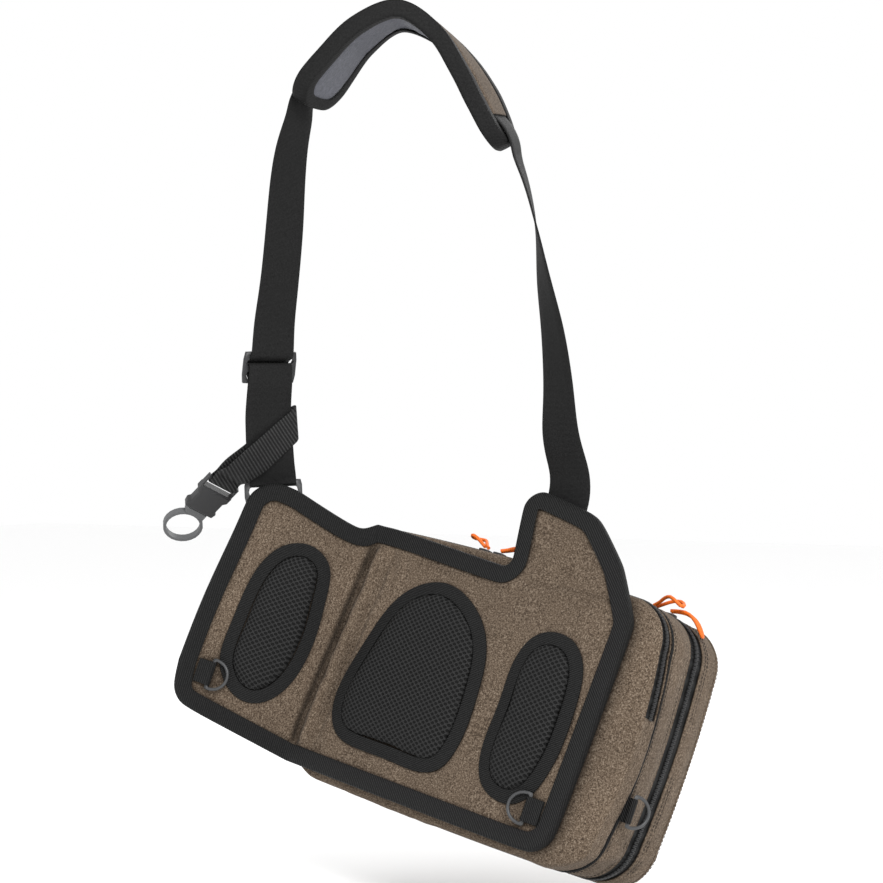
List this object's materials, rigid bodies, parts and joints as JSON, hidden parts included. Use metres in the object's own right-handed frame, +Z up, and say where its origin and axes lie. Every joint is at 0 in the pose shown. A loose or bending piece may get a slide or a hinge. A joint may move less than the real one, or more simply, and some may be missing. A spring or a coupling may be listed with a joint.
{
  "type": "fishing tackle sling bag",
  "caption": "Zipped sling bag with a padded back panel that has a folding wing, held by a wide adjustable shoulder strap with a curved pad and a clip buckle.",
  "frame": {"origin": "middle of the shoulder pad's underside, where the bag hangs", "axes": "+Z up as it hangs, +X towards the ear of the panel, +Y from the back panel towards the front lid"},
  "size_m": [0.4532, 0.2537, 0.7173],
  "materials": {
    "brown_cloth": "heathered canvas",
    "black_webbing": "ribbed webbing",
    "black_mesh": "spacer mesh",
    "grey_lining": "brushed lining",
    "black_plastic": "fine matte",
    "grey_plastic": "satin",
    "zip_black": "coil zip on tape",
    "orange_cord": "braided cord"
  },
  "bodies": {
    "bag": {"back_panel": "brown_cloth", "panel_binding": "black_webbing", "centre_pad_tape": "black_webbing", "centre_pad": "black_mesh", "side_pad_tape": "black_webbing", "side_pad": "black_mesh", "wing_pad_tape": "black_webbing", "wing_pad": "black_mesh", "rear_pocket": "brown_cloth", "rear_zip": "zip_black", "main_body": "brown_cloth", "main_zip": "zip_black", "front_lid": "brown_cloth", "rear_slider_left": "black_plastic", "rear_pull_left": "orange_cord", "rear_slider_right": "black_plastic", "rear_pull_right": "orange_cord", "main_slider_left": "black_plastic", "main_pull_left": "orange_cord", "main_slider_right": "black_plastic", "main_pull_right": "orange_cord", "panel_ring_tab": "black_webbing", "wing_ring_tab": "black_webbing", "side_ring_tab": "black_webbing", "strap_ring": "grey_plastic", "ring_anchor": "black_webbing", "shoulder_strap": "black_webbing", "strap_slider": "black_plastic", "shoulder_pad_binding": "black_webbing", "shoulder_pad": "grey_lining", "shoulder_pad_cover": "brown_cloth", "buckle_webbing": "black_webbing", "buckle_body": "black_plastic", "buckle_plug": "grey_plastic"},
    "panel_ring": {"panel_ring": "grey_plastic"},
    "wing_ring": {"wing_ring": "grey_plastic"},
    "side_ring": {"side_ring": "grey_plastic"}
  },
  "joints": [
    {"name": "panel_ring_hinge", "type": "hinge", "parent": "bag", "child": "panel_ring", "pos_m": [0.12616, -0.00428, -0.6291], "axis": [0.2069, 0.2984, 0.9317], "range_deg": [0, 140]},
    {"name": "wing_ring_hinge", "type": "hinge", "parent": "bag", "child": "wing_ring", "pos_m": [-0.16957, -0.02986, -0.538], "axis": [-0.2201, -0.2583, -0.9407], "range_deg": [0, 140]},
    {"name": "side_ring_hinge", "type": "hinge", "parent": "bag", "child": "side_ring", "pos_m": [0.19641, 0.03631, -0.63009], "axis": [0.2069, 0.2984, 0.9317], "range_deg": [-110, 30]}
  ]
}
